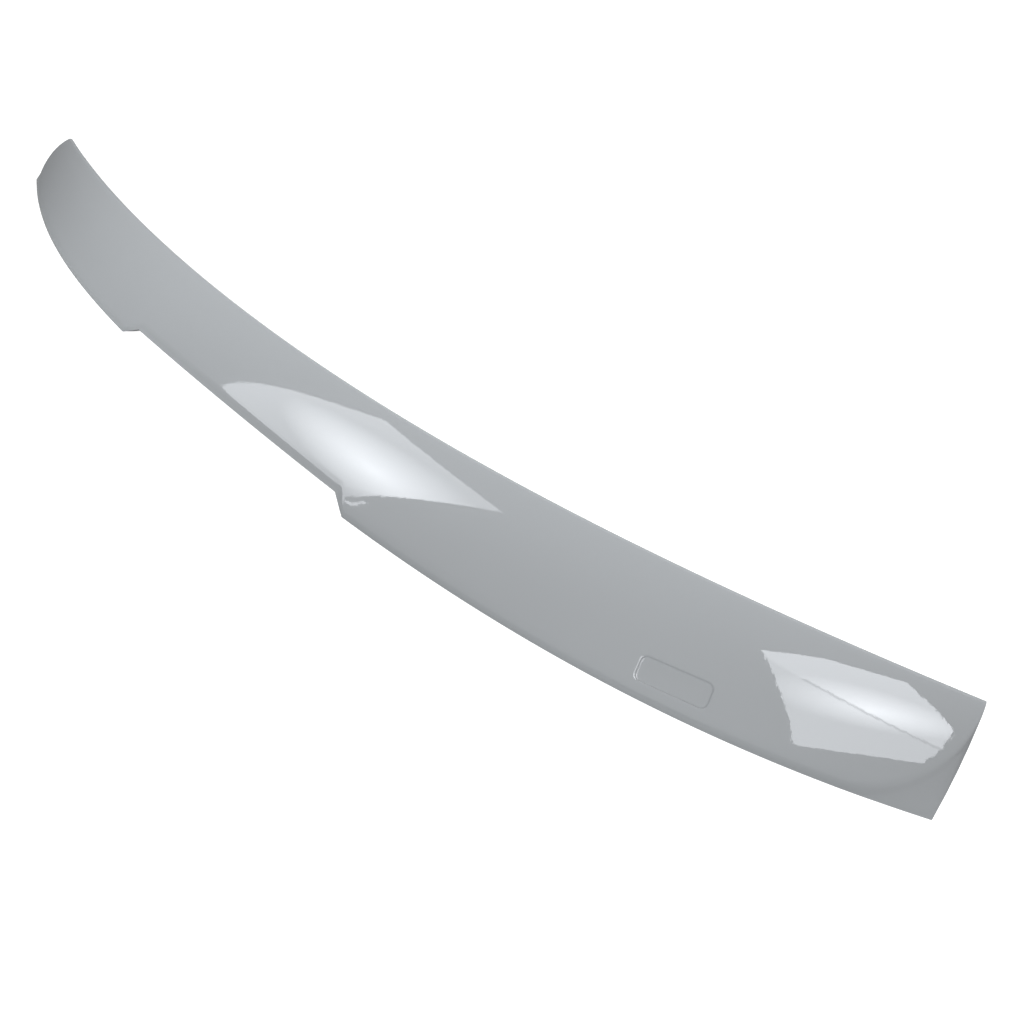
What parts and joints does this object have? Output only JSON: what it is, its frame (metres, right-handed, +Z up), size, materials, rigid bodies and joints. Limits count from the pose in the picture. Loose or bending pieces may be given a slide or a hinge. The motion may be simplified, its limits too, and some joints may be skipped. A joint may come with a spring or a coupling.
{
  "type": "car rear spoiler",
  "caption": "Long, thin, curved rear lip spoiler shell with a notch in its rear lip, folded end panels and a plain badge recess.",
  "frame": {"origin": "middle of the footprint, on the surface that the rear lip rests on", "axes": "+X along the length to the end with the recess, +Y to the front of the car, +Z up, out of the painted face"},
  "size_m": [1.324, 0.1598, 0.035],
  "materials": {
    "shell_plastic": "smooth glossy light grey"
  },
  "bodies": {
    "root": {"spoiler_shell": "shell_plastic"}
  },
  "joints": []
}
